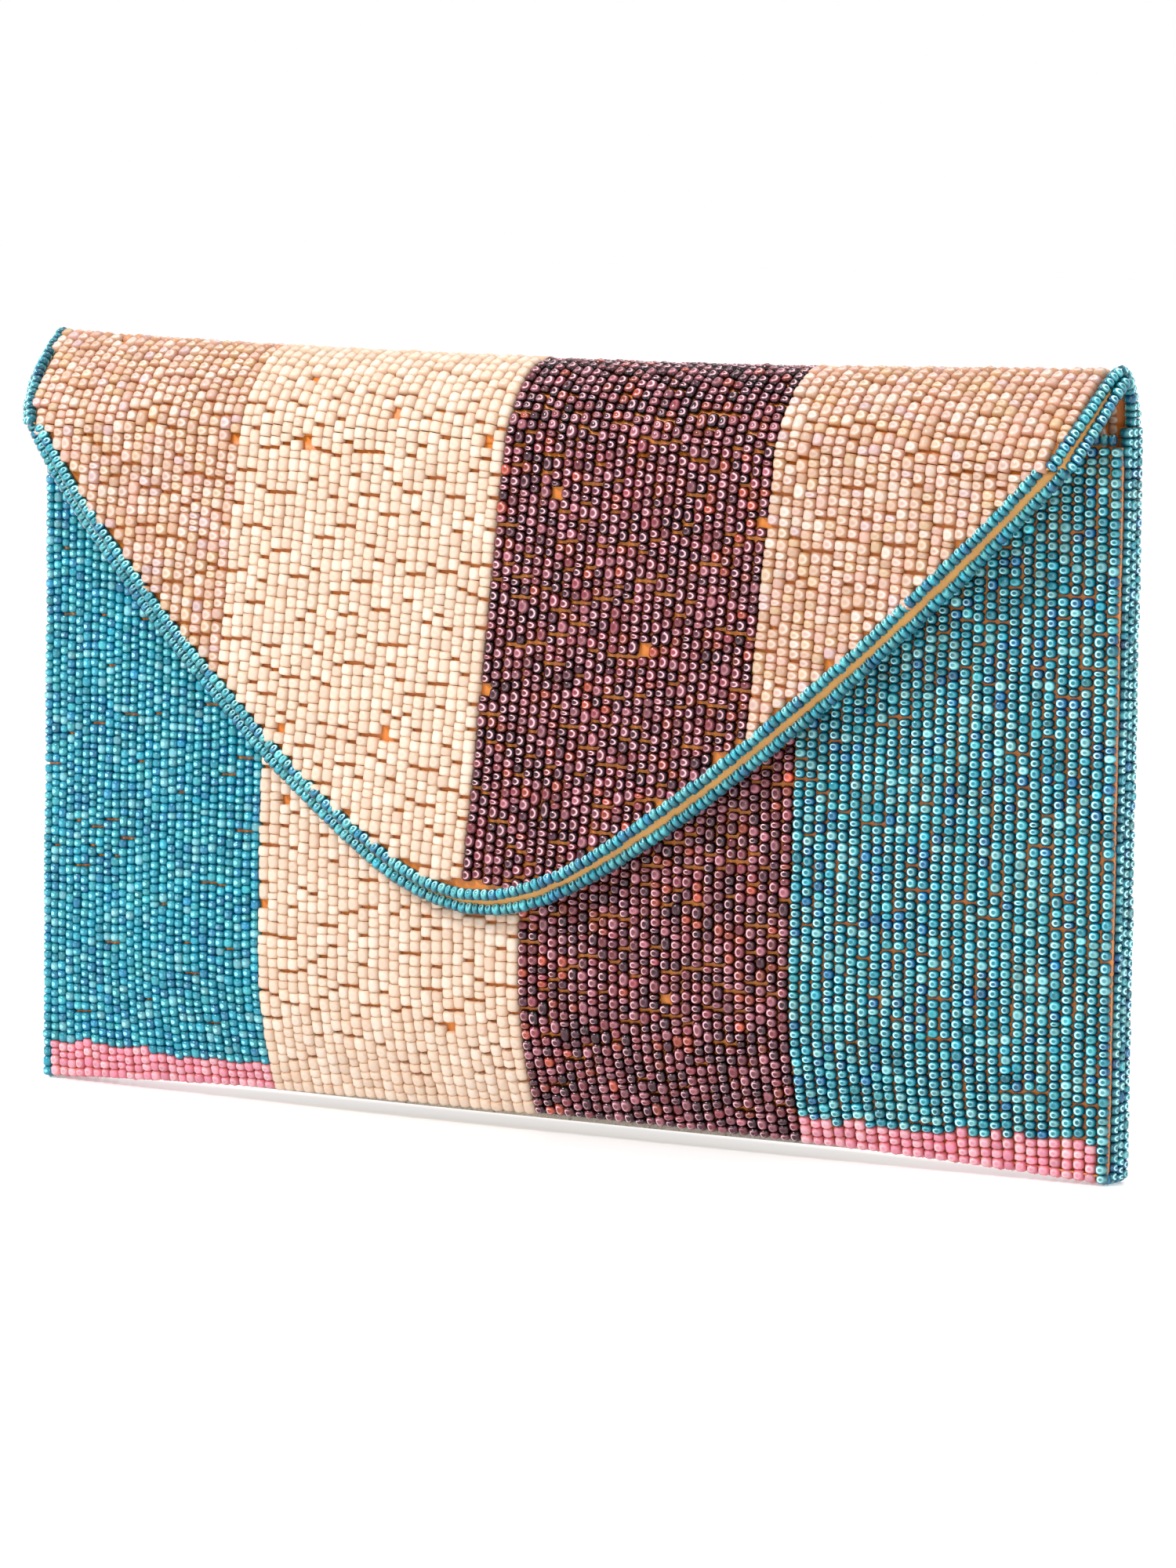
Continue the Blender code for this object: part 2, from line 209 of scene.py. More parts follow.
CLOTH_AT = 0.0017              # depth of the cloth under the outer face of the beads
CLOTH = 0.0004
ARCH = 0.0042                  # how far the middle of the base lifts off the table


def belly(u):
    """Swell across the width: full in the middle, none at the sewn edges."""
    return 1 - np.abs(u) ** 2.37


def rise(z, least):
    """A quarter sine that goes from least at the base to 1 at the top of the tuck."""
    return least + (1 - least) * np.sin(math.pi / 2 * np.clip(z / TUCK_Z, 0, 1))


def front_y(u, z):
    """Outer face of the front: an edge, plus a belly that tucks in below and leans back above."""
    lean = 1 - FRONT_LEAN * np.clip((z - LEAN_Z) / (MOUTH_Z - LEAN_Z), 0, 1)
    return SEAM_Y - FRONT_EDGE - FRONT_BULGE * belly(u) * rise(z, FRONT_TUCK) * lean


def back_y(u, z):
    """Outer face of the back: the same, with less belly."""
    lean = 1 - BACK_LEAN * np.clip((z - LEAN_Z) / (BACK_TOP_Z - LEAN_Z), 0, 1) ** 2
    return SEAM_Y + SIDE_DEPTH + BACK_BULGE * belly(u) * rise(z, BACK_TUCK) * lean


def arch(u):
    """Height of the base's edge above the table: none at the ends, most in the middle."""
    return ARCH * belly(u)


def mesh_of(name, points, quads, smooth=True):
    """Make a mesh object of an array of points and an array of quads, facing outwards."""
    a, b, c, d = (points[quads[:, i]] for i in range(4))
    volume = (a * np.cross(b, c)).sum() + (a * np.cross(c, d)).sum()
    if volume < 0:
        quads = quads[:, ::-1]
    mesh = bpy.data.meshes.new(name)
    mesh.vertices.add(len(points))
    mesh.vertices.foreach_set("co", np.asarray(points, np.float32).ravel())
    mesh.loops.add(quads.size)
    mesh.loops.foreach_set("vertex_index", np.ascontiguousarray(quads, np.int32).ravel())
    mesh.polygons.add(len(quads))
    mesh.polygons.foreach_set("loop_start", np.arange(0, quads.size, 4, dtype=np.int32))
    mesh.polygons.foreach_set("use_smooth", np.full(len(quads), smooth))
    mesh.update(calc_edges=True)
    obj = bpy.data.objects.new(name, mesh)
    bpy.context.scene.collection.objects.link(obj)
    return obj


def lay_cut(obj, flat):
    """Give a mesh its UV map, in metres along the cloth as it was cut, from a place for each point."""
    corner = np.empty(len(obj.data.loops), np.int32)
    obj.data.loops.foreach_get("vertex_index", corner)
    layer = obj.data.uv_layers.new(name="cut")
    layer.data.foreach_set("uv", flat[corner].astype(np.float32).ravel())


def shell(name, face, lining):
    """Close the space between two grids of points, and lay a UV map in metres along them."""
    rows, columns = face.shape[:2]
    count = rows * columns
    index = np.arange(count).reshape(rows, columns)
    side = np.stack([index[:-1, :-1], index[:-1, 1:], index[1:, 1:], index[1:, :-1]], -1).reshape(-1, 4)
    rim = np.concatenate([index[0, :], index[1:, -1], index[-1, -2::-1], index[-2:0:-1, 0]])
    rim = np.stack([np.roll(rim, -1), rim, rim + count, np.roll(rim, -1) + count], -1)
    quads = np.concatenate([side, side[:, ::-1] + count, rim])
    points = np.concatenate([face.reshape(-1, 3), lining.reshape(-1, 3)])
    obj = mesh_of(name, points, quads)
    down = np.linalg.norm(np.diff(face, axis=0), axis=2).mean(axis=1)
    run = np.broadcast_to(np.append(0, np.cumsum(down))[:, None], (rows, columns))
    flat = np.stack([face[..., 0], run], -1).reshape(-1, 2)
    lay_cut(obj, np.concatenate([flat, flat]))
    return obj


def satin_finish(name, light, deep, puckers=1.0):
    """Satin weave: long floats with a soft sheen along them, fine ribs across, slow creases. The sheen is
    partly the shader's and partly painted: the colour is lighter on the floats and crease ridges, darker
    in the crease hollows as painted shade.
    """
    finish = Finish(name, Sheen_Weight=0.35, Sheen_Roughness=0.3, Anisotropic=0.5, Specular_IOR_Level=0.5)
    cut = finish.add("UVMap", uv_map="cut")
    stretched = finish.add("Mapping", {"Vector": cut, "Scale": (1.0, 0.12, 1.0)})
    floats = finish.noise(9000.0, 1.0, stretched)
    ribs = finish.add("TexWave", {"Vector": cut, "Scale": 900.0, "Distortion": 1.5, "Detail": 1.0},
                      out=1, bands_direction="X")
    crease = finish.noise(55.0 * puckers, 2.0)
    # Painted sheen and shade: lighter along the floats and on the crease ridges, darker in the crease
    # hollows.
    color = finish.mix((crease * 0.7 + floats * 0.5).clamped(), (*deep, 1.0), (*light, 1.0))
    height = floats * 0.3 + ribs * 0.3 + crease * 1.5
    return finish.surface(Base_Color=color, Roughness=0.30 + floats * 0.15,
                          Normal=finish.bump(height, 0.00025, 0.5))


ground_satin = satin_finish("orange_gold_satin", (0.74, 0.25, 0.035), (0.46, 0.11, 0.012))


def front_grid(depth, low, span=1.0, top=MOUTH_Z, across=61, up=37):
    """Grid on the front panel at a depth under its face, from the arched edge to the mouth."""
    u = np.linspace(-span, span, across)[None, :]
    foot = arch(u) + low
    z = foot + (top - foot) * np.linspace(0, 1, up)[:, None]
    x = u * (HALF - 0.0004) + 0 * z
    return np.stack([x, front_y(u, z) + depth, z], -1)


def place(obj, material, body, slot, *cad):
    """Give a piece its finish, the body it rides on if any, and the CAD nodes it stands for; slot is not
    used.
    """
    obj.data.materials.append(material)
    if body:
        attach(obj, body)
    if cad:
        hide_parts(*cad)
    return obj


front_cloth = shell("front_ground_cloth", front_grid(CLOTH_AT, 0.0022), front_grid(CLOTH_AT + CLOTH, 0.0022))
place(front_cloth, ground_satin, "purse", "gold_satin", "beaded_front_panel")


# ------------
# Front panel's beads: size 10 glass seed beads strung in upright columns and couched to the cloth.
# Turquoise, cream, plum and turquoise stripes, with a pink band under both turquoise ones.
# ------------
BEAD_SIDES = 8
BEAD_SPAN = np.array([-1.0, -0.6, 0.6, 1.0])
BEAD_DEPTH = 0.00125           # depth of the bead centres under the outer face


def bead_template():
    """Quads of one bead: four rings of eight points and two ends of three quads."""
    ring = np.arange(BEAD_SIDES)
    after = (ring + 1) % BEAD_SIDES
    walls = [np.stack([ring, after, after + BEAD_SIDES, ring + BEAD_SIDES], -1) + r * BEAD_SIDES
             for r in range(len(BEAD_SPAN) - 1)]
    end = np.array([[0, 1, 2, 3], [0, 3, 4, 7], [4, 5, 6, 7]])
    far = end + (len(BEAD_SPAN) - 1) * BEAD_SIDES
    return np.concatenate([*walls, end[:, ::-1], far])


def beads(name, strung):
    """Make a piece of every strung bead: rings about its axis, closed at both ends.

    A point is centre + axis * span * length / 2 + radius * reach(span) * (cos a * outward + sin a * side).
    """
    centre, axis, outward, radius, length, tint, waist = (np.concatenate(part) for part in zip(*strung))
    axis = axis / np.linalg.norm(axis, axis=1)[:, None]
    outward = outward - (outward * axis).sum(1)[:, None] * axis
    outward = outward / np.linalg.norm(outward, axis=1)[:, None]
    side = np.cross(axis, outward)
    turn = np.arange(BEAD_SIDES) * 2 * math.pi / BEAD_SIDES
    reach = np.stack([waist, np.ones_like(waist), np.ones_like(waist), waist], 1)
    spoke = (np.cos(turn)[None, :, None] * outward[:, None] + np.sin(turn)[None, :, None] * side[:, None])
    points = (centre[:, None, None]
              + (axis * length[:, None] / 2)[:, None, None] * BEAD_SPAN[None, :, None, None]
              + (radius[:, None] * reach)[:, :, None, None] * spoke[:, None])
    template = bead_template()
    per = len(BEAD_SPAN) * BEAD_SIDES
    quads = (template[None] + (np.arange(len(centre)) * per)[:, None, None]).reshape(-1, 4)
    obj = mesh_of(name, points.reshape(-1, 3), quads)
    shape = (len(centre), len(BEAD_SPAN), BEAD_SIDES)
    around = {"bead_side": np.broadcast_to(np.sin(turn), shape),
              "bead_span": np.broadcast_to(BEAD_SPAN[None, :, None], shape)}
    for key, values in around.items():
        layer = obj.data.attributes.new(key, "FLOAT", "POINT")
        layer.data.foreach_set("value", np.ascontiguousarray(values, np.float32).ravel())
    layer = obj.data.attributes.new("bead_tint", "FLOAT_COLOR", "POINT")
    # Each bead's luck: how much of its painted highlight it shows, carried in the tint's alpha.
    luck = np.random.default_rng(len(tint)).uniform(0, 1, (len(tint), 1)) ** 0.7
    tint = np.concatenate([tint, luck], 1)
    layer.data.foreach_set("color", np.repeat(tint, per, axis=0).astype(np.float32).ravel())
    return obj


def bead_finish(name, rim, painted_core_shade, painted_highlight_color, ring, rough, coat):
    """Drawn glass with light and shade painted on: painted shade towards the edges, tinted by rim, a centre
    made darker by a share as painted shade, and a painted highlight ring inside the wall.

    ring holds where the painted highlight ring lies, how sharp it is, how much it leans to one side and
    its strength; each bead's luck, carried with its tint, says how much of that highlight it shows.
    """
    finish = Finish(name, Coat_Roughness=0.05, Specular_IOR_Level=0.3)
    tint = finish.attribute("bead_tint", 0)
    luck = finish.attribute("bead_tint", 3)
    side = finish.attribute("bead_side")
    span = finish.attribute("bead_span")
    out = side * side + span * span
    place_at, sharp, lean, strength = ring
    # Painted shade: towards the bead's edges the colour is multiplied by the rim colour.
    color = finish.mix(((out - 0.45) * 1.7).clamped(), tint, finish.mix(1.0, tint, (*rim, 1.0), "MULTIPLY"))
    # Painted shade: the bead's centre is made darker by a share.
    color = finish.mix((1.0 - out * 4.0).clamped() * painted_core_shade, color,
                       finish.mix(1.0, color, (0.25, 0.25, 0.25, 1.0), "MULTIPLY"))
    # Painted highlight: a lit ring inside the wall, stronger on one side, as far as the bead's luck goes.
    lit = (1.0 - (out - place_at).absolute() * sharp).clamped() * (0.6 - side * lean).clamped()
    color = finish.mix((lit * luck * strength).clamped(), color, (*painted_highlight_color, 1.0))
    ripple = finish.noise(900.0, 1.0)
    return finish.surface(Base_Color=color, Roughness=rough + ripple * 0.12, Coat_Weight=coat - ripple * 0.2,
                          Normal=finish.bump(ripple, 0.0002, 0.35))


# Each glass: painted edge shade colour, share of painted centre shade, painted highlight colour, its ring,
# roughness and coat.
deep_glass = bead_finish("deep_turquoise_glass", (0.35, 0.62, 0.66), 0.0, (0.40, 0.95, 1.0),
                         (0.06, 6.0, 0.3, 1.5), 0.2, 0.45)
clear_glass = bead_finish("clear_turquoise_glass", (0.10, 0.28, 0.34), 0.5, (0.50, 0.95, 1.0),
                          (0.30, 4.5, 1.0, 1.8), 0.15, 0.5)
plum_glass = bead_finish("plum_glass", (0.10, 0.03, 0.04), 0.5, (0.82, 0.48, 0.54),
                         (0.32, 5.0, 1.2, 1.5), 0.15, 0.35)
pearl_glass = bead_finish("pearl_glass", (1.0, 0.78, 0.60), 0.0, (0.80, 0.70, 0.64),
                          (0.32, 3.0, 0.5, 0.9), 0.35, 0.2)
cream_glass = bead_finish("cream_glass", (1.0, 0.90, 0.80), 0.0, (0.76, 0.68, 0.58),
                          (0.30, 3.0, 0.1, 0.5), 0.4, 0.2)
GLASS = {"turquoise": deep_glass, "aqua": clear_glass, "trim": clear_glass, "plum": plum_glass,
         "pink": pearl_glass, "peach": pearl_glass, "cream": cream_glass}

# Each kind of bead: mean length, spread of lengths, column pitch, end-to-waist ratio, bare gap, mean
# stretch between gaps, share of lost beads, spread of brightness, radius over pitch, and its colours.
KINDS = {
    "turquoise": (0.00192, 0.12, 0.00243, 0.72, 0.0005, 0.045, 0.0, 0.14, 0.515, (
        (7, (0.004, 0.210, 0.290)), (2, (0.002, 0.150, 0.270)), (2, (0.020, 0.260, 0.310)),
        (1, (0.100, 0.330, 0.390)))),
    "aqua": (0.00195, 0.12, 0.00248, 0.64, 0.0004, 0.030, 0.0, 0.22, 0.500, (
        (6, (0.006, 0.190, 0.250)), (1, (0.003, 0.110, 0.240)), (2, (0.025, 0.260, 0.300)),
        (2, (0.110, 0.340, 0.360)))),
    "cream": (0.00235, 0.14, 0.00269, 0.90, 0.0007, 0.0075, 0.0030, 0.035, 0.560, (
        (6, (0.580, 0.440, 0.340)), (3, (0.620, 0.500, 0.410)), (2, (0.570, 0.410, 0.310)))),
    "plum": (0.00215, 0.22, 0.00245, 0.66, 0.0006, 0.012, 0.002, 0.28, 0.500, (
        (4, (0.150, 0.025, 0.035)), (3, (0.050, 0.008, 0.018)), (3, (0.220, 0.065, 0.085)),
        (1, (0.260, 0.040, 0.020)))),
    "pink": (0.00192, 0.12, 0.00243, 0.76, 0.0002, 0.040, 0.0, 0.08, 0.510, (
        (4, (0.580, 0.190, 0.270)), (2, (0.630, 0.280, 0.350)))),
    "peach": (0.00210, 0.20, 0.00274, 0.84, 0.0006, 0.010, 0.0012, 0.06, 0.530, (
        (6, (0.440, 0.275, 0.190)), (3, (0.470, 0.295, 0.235)), (2, (0.460, 0.310, 0.190)),
        (2, (0.520, 0.400, 0.330)), (1, (0.440, 0.300, 0.290)))),
}


def tints(kind, count, rng):
    """Colour of each bead: one of the kind's colours, a little lighter or darker."""
    colors = KINDS[kind][9]
    shares = np.array([share for share, _ in colors], float)
    pick = rng.choice(len(colors), count, p=shares / shares.sum())
    palette = np.array([color for _, color in colors])
    return np.clip(palette[pick] * np.exp(KINDS[kind][7] * rng.standard_normal((count, 1))), 0, 0.95)


STEP = 0.0004                  # half the stretch of thread that gives a bead its direction
WANDER = 0.00008               # slow drift of a thread to either side, in metres
WAVES = 160                    # of that drift, in radians per metre
JOG = 0.00004                  # spread of single beads: sideways, outwards, in tilt and in girth
STAND = 0.00007
TILT = 0.05
GIRTH = 0.04
TOUCH = 0.97                   # share of its room that a bead fills


def string(path, outward, kind, rng, breaks=None, radius=None):
    """Push whole beads along a thread until it is full, with bare thread left at each break.

    The thread is a row of points; places along it are found by its running length.
    """
    mean, spread, pitch, waist, gap, _, lost, _, fat, _ = KINDS[kind]
    run = np.append(0, np.cumsum(np.linalg.norm(np.diff(path, axis=0), axis=1)))
    breaks = np.array([]) if breaks is None else breaks
    inner = breaks[(breaks > 3 * mean) & (breaks < run[-1] - 3 * mean)]
    stops = np.concatenate([[0], inner, [run[-1]]])
    middles, lengths = [], []
    for low, high in zip(stops[:-1], stops[1:]):
        room = high - low - (gap if high < run[-1] else 0)
        size = 1 + np.clip(spread * rng.standard_normal(max(1, round(room / mean))), -0.45, 0.7)
        size *= room / size.sum()
        middles.append(low + np.cumsum(size) - size / 2)
        lengths.append(size)
    along = np.concatenate(middles)
    length = np.concatenate(lengths)
    kept = rng.random(len(along)) > lost
    along, length = along[kept], length[kept]
    count = len(along)

    def at(places, values):
        return np.stack([np.interp(places, run, values[:, i]) for i in range(3)], 1)

    centre = at(along, path)
    axis = at(along + STEP, path) - at(along - STEP, path)
    axis /= np.linalg.norm(axis, axis=1)[:, None]
    normal = at(along, outward)
    across = np.cross(axis, normal)
    wander = WANDER * np.sin(along * WAVES + rng.uniform(0, 6.3)) + JOG * rng.standard_normal(count)
    centre = centre + across * wander[:, None] + normal * (STAND * rng.standard_normal(count))[:, None]
    axis = axis + across * (TILT * rng.standard_normal(count))[:, None]
    radius = (pitch * fat if radius is None else radius) * (1 + GIRTH * rng.standard_normal(count))
    tint = tints(kind, count, rng)
    return centre, axis, normal, radius, length * TOUCH, tint, np.full(count, waist)


def break_places(kind, length, number, seed):
    """Where a thread parts: at places of its own, and at places it shares with one neighbour."""
    places = []
    for group in (number, 5000 + number // 2):
        spacing = 2 * KINDS[kind][5] * np.random.default_rng([seed, group]).uniform(0.1, 1.9, 60)
        places.append(np.cumsum(spacing))
    places = np.sort(np.concatenate(places))
    places = places[places < length]
    return places[np.append(True, np.diff(places) > 1.6 * KINDS[kind][0])]


def stripe_columns(low, high, pitch):
    """Column places that fill a stripe from edge to edge."""
    count = round((high - low) / pitch)
    return low + (np.arange(count) + 0.5) * (high - low) / count


FRONT_STRIPES = (("turquoise_left", "turquoise", -HALF, -0.0668), ("cream", "cream", -0.0668, 0.0008),
                 ("plum", "plum", 0.0008, 0.0646), ("turquoise_right", "aqua", 0.0646, HALF))
PINK_TOP = 0.0089
rng = np.random.default_rng(11)
for label, kind, low, high in FRONT_STRIPES:
    strung, band = [], []
    for number, x in enumerate(stripe_columns(low, high, KINDS[kind][2])):
        u = x / HALF
        z = np.linspace(arch(u) + 0.0004, MOUTH_Z, 90)
        step = 0.0005
        path = np.stack([np.full_like(z, x), front_y(u, z) + BEAD_DEPTH, z], -1)
        slope_x = (front_y(u + step / HALF, z) - front_y(u - step / HALF, z)) / (2 * step)
        slope_z = (front_y(u, z + step) - front_y(u, z - step)) / (2 * step)
        outward = np.stack([slope_x, -np.ones_like(z), slope_z], -1)
        column = string(path, outward, kind, rng, break_places(kind, 0.15, number, len(label)))
        pink = (column[0][:, 2] < PINK_TOP) & (abs(x) < HALF - 0.003) & (abs(u) > 0.4)
        pink &= kind in ("turquoise", "aqua")
        strung.append([part[~pink] for part in column])
        if pink.any():
            column[5][pink] = tints("pink", int(pink.sum()), rng)
            band.append([part[pink] for part in column])
    place(beads("front_beads_" + label, strung), GLASS[kind], "purse", "turquoise_beads")
    if band:
        place(beads("front_beads_pink_" + label.split("_")[1], band), pearl_glass, "purse", "peach_beads")


# ------------
# Back, fold and flap: one beaded strip that runs up the back, over the top and down the front in
# peach, cream, plum and peach. Its ground cloth is satin; over the top it has no board, so it bends.
# ------------
FOLD_HALF = 0.1330
BROW = 2.35                    # a place on the fold's front, between the crest and the root
BROW_HALF = 0.1326
FLAP_SKEW = 0.0574             # drift of the flap to the left, per metre of drop
CREST_SAG = 0.002
CREST_BACK = 0.0018            # the crest, behind the seam at the ends and ahead of it in the middle
CREST_FORWARD = 0.0063
END_FULLNESS = 1.20            # 1 is a chord and 2 is an ellipse
MIDDLE_FULLNESS = 0.50
LEFT_PULL = 0.0030             # how far its left corner is pulled in at the root
PULL_AT = (math.pi / 2, 2.1, 2.6, math.pi, math.pi + 0.010, math.pi + 0.035)
PULL_SHARE = (0.0, 0.2, 0.6, 1.0, 0.75, 0.0)
TRIM_R = 0.00128               # a trim strand of beads
FACE_INSET = 0.0043            # face strand, in from the outline; 2.5 mm over the crest
CREST_INSET = 0.0025
FACE_DEPTH = 0.0008            # it stands a little proud of the panel's beads
BACK_INSET = 0.0011            # strand that forms the outline
BACK_DEPTH = 0.0031


def flap_y(u, z):
    """Outer face of the flap: a flat board, slightly crowned, leaning out towards its tip."""
    return SEAM_Y - FLAP_AHEAD - FLAP_LEAN * (FLAP_ROOT_Z - z) - FLAP_CROWN * (1 - u ** 2)


def wrap(x, s, depth):
    """Point of the strip, depth under its outer face.

    s below 0 is metres under the back's top. From 0 to pi it is the angle over a quarter ellipse and
    a front quarter that is nearly a chord at the ends and rounder in the middle. Above pi it is metres
    under the flap's root. In front of the crest everything drifts to the left with its drop, and the
    left corner is pulled in a little around the root.
    """
    x, s, depth = np.broadcast_arrays(*(np.asarray(v, float) for v in (x, s, depth)))
    u = np.clip(x / HALF, -1, 1)
    crest_z = HEIGHT - CREST_SAG * belly(u)
    crest_y = SEAM_Y + CREST_BACK - CREST_FORWARD * belly(u)
    back_z = BACK_TOP_Z + s
    flap_z = FLAP_ROOT_Z - (s - math.pi)
    reach_back = back_y(u, BACK_TOP_Z) - crest_y - depth
    reach_front = crest_y - flap_y(u, FLAP_ROOT_Z) - depth
    power = 2 / (END_FULLNESS + MIDDLE_FULLNESS * belly(u))
    forward = np.clip(-np.cos(s), 0, 1) ** power
    upward = np.clip(np.sin(s), 0, 1) ** power
    where = [s < 0, s < math.pi / 2, s <= math.pi]
    y = np.select(where, [back_y(u, back_z) - depth, crest_y + reach_back * np.cos(s),
                          crest_y - reach_front * forward], flap_y(u, flap_z) + depth)
    z = np.select(where, [back_z, BACK_TOP_Z + (crest_z - BACK_TOP_Z - depth) * np.sin(s),
                          FLAP_ROOT_Z + (crest_z - FLAP_ROOT_Z - depth) * upward], flap_z)
    drop = np.where(s > math.pi / 2, crest_z - depth - z, 0)
    pulled = np.clip(-u, 0, 1) ** 10 * np.interp(s, PULL_AT, PULL_SHARE)
    return np.stack([x - FLAP_SKEW * drop + LEFT_PULL * pulled, y, z], -1)


V_SLOPE = 0.879                # of the outline's straight sides
V_ROUND = 0.0328               # how far its tip is rounded
V_FLARE = 32.4


def flap_edge_z(x):
    """Outline of the flap: straight sides, a round tip and a flare at the corners."""
    return FLAP_TIP_Z + V_SLOPE * (np.sqrt(x ** 2 + V_ROUND ** 2) - V_ROUND) + V_FLARE * x ** 4


def flap_half(s, inset=0.0):
    """Half the strip's width along the fold and flap, inset square to the flap's outline."""
    xs = np.linspace(0, FOLD_HALF, 400)
    zs = flap_edge_z(xs)
    slope = np.gradient(zs, xs)
    length = np.sqrt(1 + slope ** 2)
    inner_x = xs - inset * slope / length
    inner_z = zs + inset / length
    corner = np.interp(FLAP_ROOT_Z, inner_z, inner_x)
    end = np.interp(s, (0, math.pi / 2, BROW, math.pi),
                    (HALF - inset, FOLD_HALF - inset, BROW_HALF - inset, corner))
    return np.where(s > math.pi, np.interp(FLAP_ROOT_Z - (s - math.pi), inner_z, inner_x), end)


def strand_inset(s):
    """Inset of the face strand over the fold: constant to the crest, then growing to the flap's."""
    return np.interp(s, (math.pi / 2, BROW, math.pi), (CREST_INSET, 0.0030, FACE_INSET))


def strip_grid(s, half, depth, across=61):
    """Grid on the strip: rows at s, each half wide to either side, at a depth."""
    s = np.asarray(s, float)[:, None]
    half = np.broadcast_to(np.asarray(half, float).reshape(-1, 1), s.shape)
    depth = np.broadcast_to(np.asarray(depth, float).reshape(-1, 1), s.shape)
    return wrap(half * np.linspace(-1, 1, across)[None, :], s, depth)


def drop_rows(inset, count=34):
    """Rows from the flap's root to its tip, closer together where the outline is round."""
    drop = FLAP_ROOT_Z - FLAP_TIP_Z - inset - 0.0003
    return math.pi + drop * np.sin(np.linspace(0, math.pi / 2, count))


# A fold's rear half lies between the purse and the fold, and its front half between the fold and the flap;
# each bend lists the two bodies and two points, but nothing here turns them.
REAR_BEND = ("purse", "flap_fold", (0, SEAM_Y + 0.0107, 0.1534), (0, SEAM_Y - 0.0005, 0.1636))
FRONT_BEND = ("flap_fold", "flap", (0, SEAM_Y - 0.0052, 0.1625), (0, SEAM_Y - 0.0184, 0.1493))
back_rows = np.linspace(0.0022 - BACK_TOP_Z, 0, 38)
rear_rows = np.linspace(0, math.pi / 2, 16)
front_rows = np.linspace(math.pi / 2, math.pi, 18)


def carry(obj, material, slot, bend, *cad):
    """Place a piece; bend names the body it rides on, and a bend that is no name leaves it on no body, with
    its transform baked.
    """
    riding = isinstance(bend, str)
    place(obj, material, bend if riding else None, slot, *cad)
    if not riding:
        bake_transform(obj)


def strip_cloth(name, rows, half, near, thick, material, bend, *cad):
    """Sheet of cloth on the strip, from a depth inwards."""
    obj = shell(name, strip_grid(rows, half, near), strip_grid(rows, half, near + thick))
    carry(obj, material, "gold_satin", bend, *cad)
    return obj


piece = strip_cloth("back_ground_cloth", back_rows, HALF - 0.0012, CLOTH_AT, CLOTH, ground_satin, "purse",
                    "beaded_back_panel")
piece = strip_cloth("rear_fold_ground_cloth", rear_rows, flap_half(rear_rows) - CREST_INSET, CLOTH_AT, CLOTH,
                    ground_satin, REAR_BEND, "beaded_fold_strip")
piece = strip_cloth("front_fold_ground_cloth", front_rows, flap_half(front_rows) - strand_inset(front_rows),
                    CLOTH_AT, CLOTH, ground_satin, FRONT_BEND)
flap_rows = drop_rows(FACE_INSET)
piece = strip_cloth("flap_ground_cloth", flap_rows, flap_half(flap_rows, FACE_INSET), CLOTH_AT, CLOTH,
                    ground_satin, "flap", "beaded_flap_panel")

FLAP_STRIPES = (("peach_left", "peach", -HALF, -0.0684), ("cream", "cream", -0.0684, -0.0018),
                ("plum", "plum", -0.0018, 0.0631), ("peach_right", "peach", 0.0631, HALF + 0.0090))
COLUMN_LEAN = 0.011            # the columns lean a little more than the flap drifts
FOLD_MARGIN = 0.0016           # from the trim's strands to the nearest bead's centre
FLAP_MARGIN = 0.0010
BACK_MARGIN = 0.0020           # from the purse's end
rng = np.random.default_rng(23)
s_line = np.concatenate([np.linspace(0.0030 - BACK_TOP_Z, 0, 70)[:-1], np.linspace(0, math.pi, 60)[:-1],
                         math.pi + np.linspace(0, FLAP_ROOT_Z - FLAP_TIP_Z, 60)])
parts = {"back": {}, "rear_fold": {}, "front_fold": {}, "flap": {}}
for label, kind, low, high in FLAP_STRIPES:
    for number, start in enumerate(stripe_columns(low, high, KINDS[kind][2])):
        level = wrap(np.full_like(s_line, np.clip(start, -HALF, HALF)), s_line, 0.0)
        run = np.append(0, np.cumsum(np.linalg.norm(np.diff(level, axis=0), axis=1)))
        past = np.maximum(run - np.interp(math.pi / 2, s_line, run), 0)
        x = start - COLUMN_LEAN * past
        path = wrap(x, s_line, BEAD_DEPTH)
        outward = wrap(x, s_line, 0.0) - path
        column = string(path, outward / BEAD_DEPTH, kind, rng,
                        break_places(kind, 0.4, number, 40 + len(label)))
        nearest = np.argmin(((column[0][:, None] - path[None, ::2]) ** 2).sum(2), 1)
        s = s_line[::2][nearest]
        over_fold = flap_half(s) - strand_inset(s) - FOLD_MARGIN
        room = np.where(s > math.pi, flap_half(s, FACE_INSET + FLAP_MARGIN), over_fold)
        room = np.where(s <= 0, HALF - BACK_MARGIN, room)
        inside = np.abs(x[::2][nearest]) < room
        for part, low_s, high_s in (("back", -math.inf, 0), ("rear_fold", 0, math.pi / 2),
                                    ("front_fold", math.pi / 2, math.pi), ("flap", math.pi, math.inf)):
            mine = inside & (s > low_s) & (s <= high_s)
            if mine.any():
                parts[part].setdefault(label, []).append([values[mine] for values in column])

bends = {"back": "purse", "rear_fold": REAR_BEND, "front_fold": FRONT_BEND, "flap": "flap"}
for part, stripes in parts.items():
    for label, strung in stripes.items():
        carry(beads(part + "_beads_" + label, strung), GLASS[label.split("_")[0]], "peach_beads", bends[part])


# ------------
# Base: a narrow strip of the same cloth, sewn in between the two walls and beaded across its depth
# in the front's colours, with pink under the turquoise.
# ------------
def base_grid(level, inset=0.0, span=1.0, across=61):
    """Grid under the purse, from the front's edge to the back's, at a height above the arched edge."""
    u = np.linspace(-span, span, across)[None, :]
    front = front_y(u, 0.0) + inset
    back = back_y(u, 0.0) - inset
    y = front + (back - front) * np.linspace(0, 1, 9)[:, None]
    return np.stack([u * (HALF - 0.0006) + 0 * y, y, arch(u) + level + 0 * y], -1)


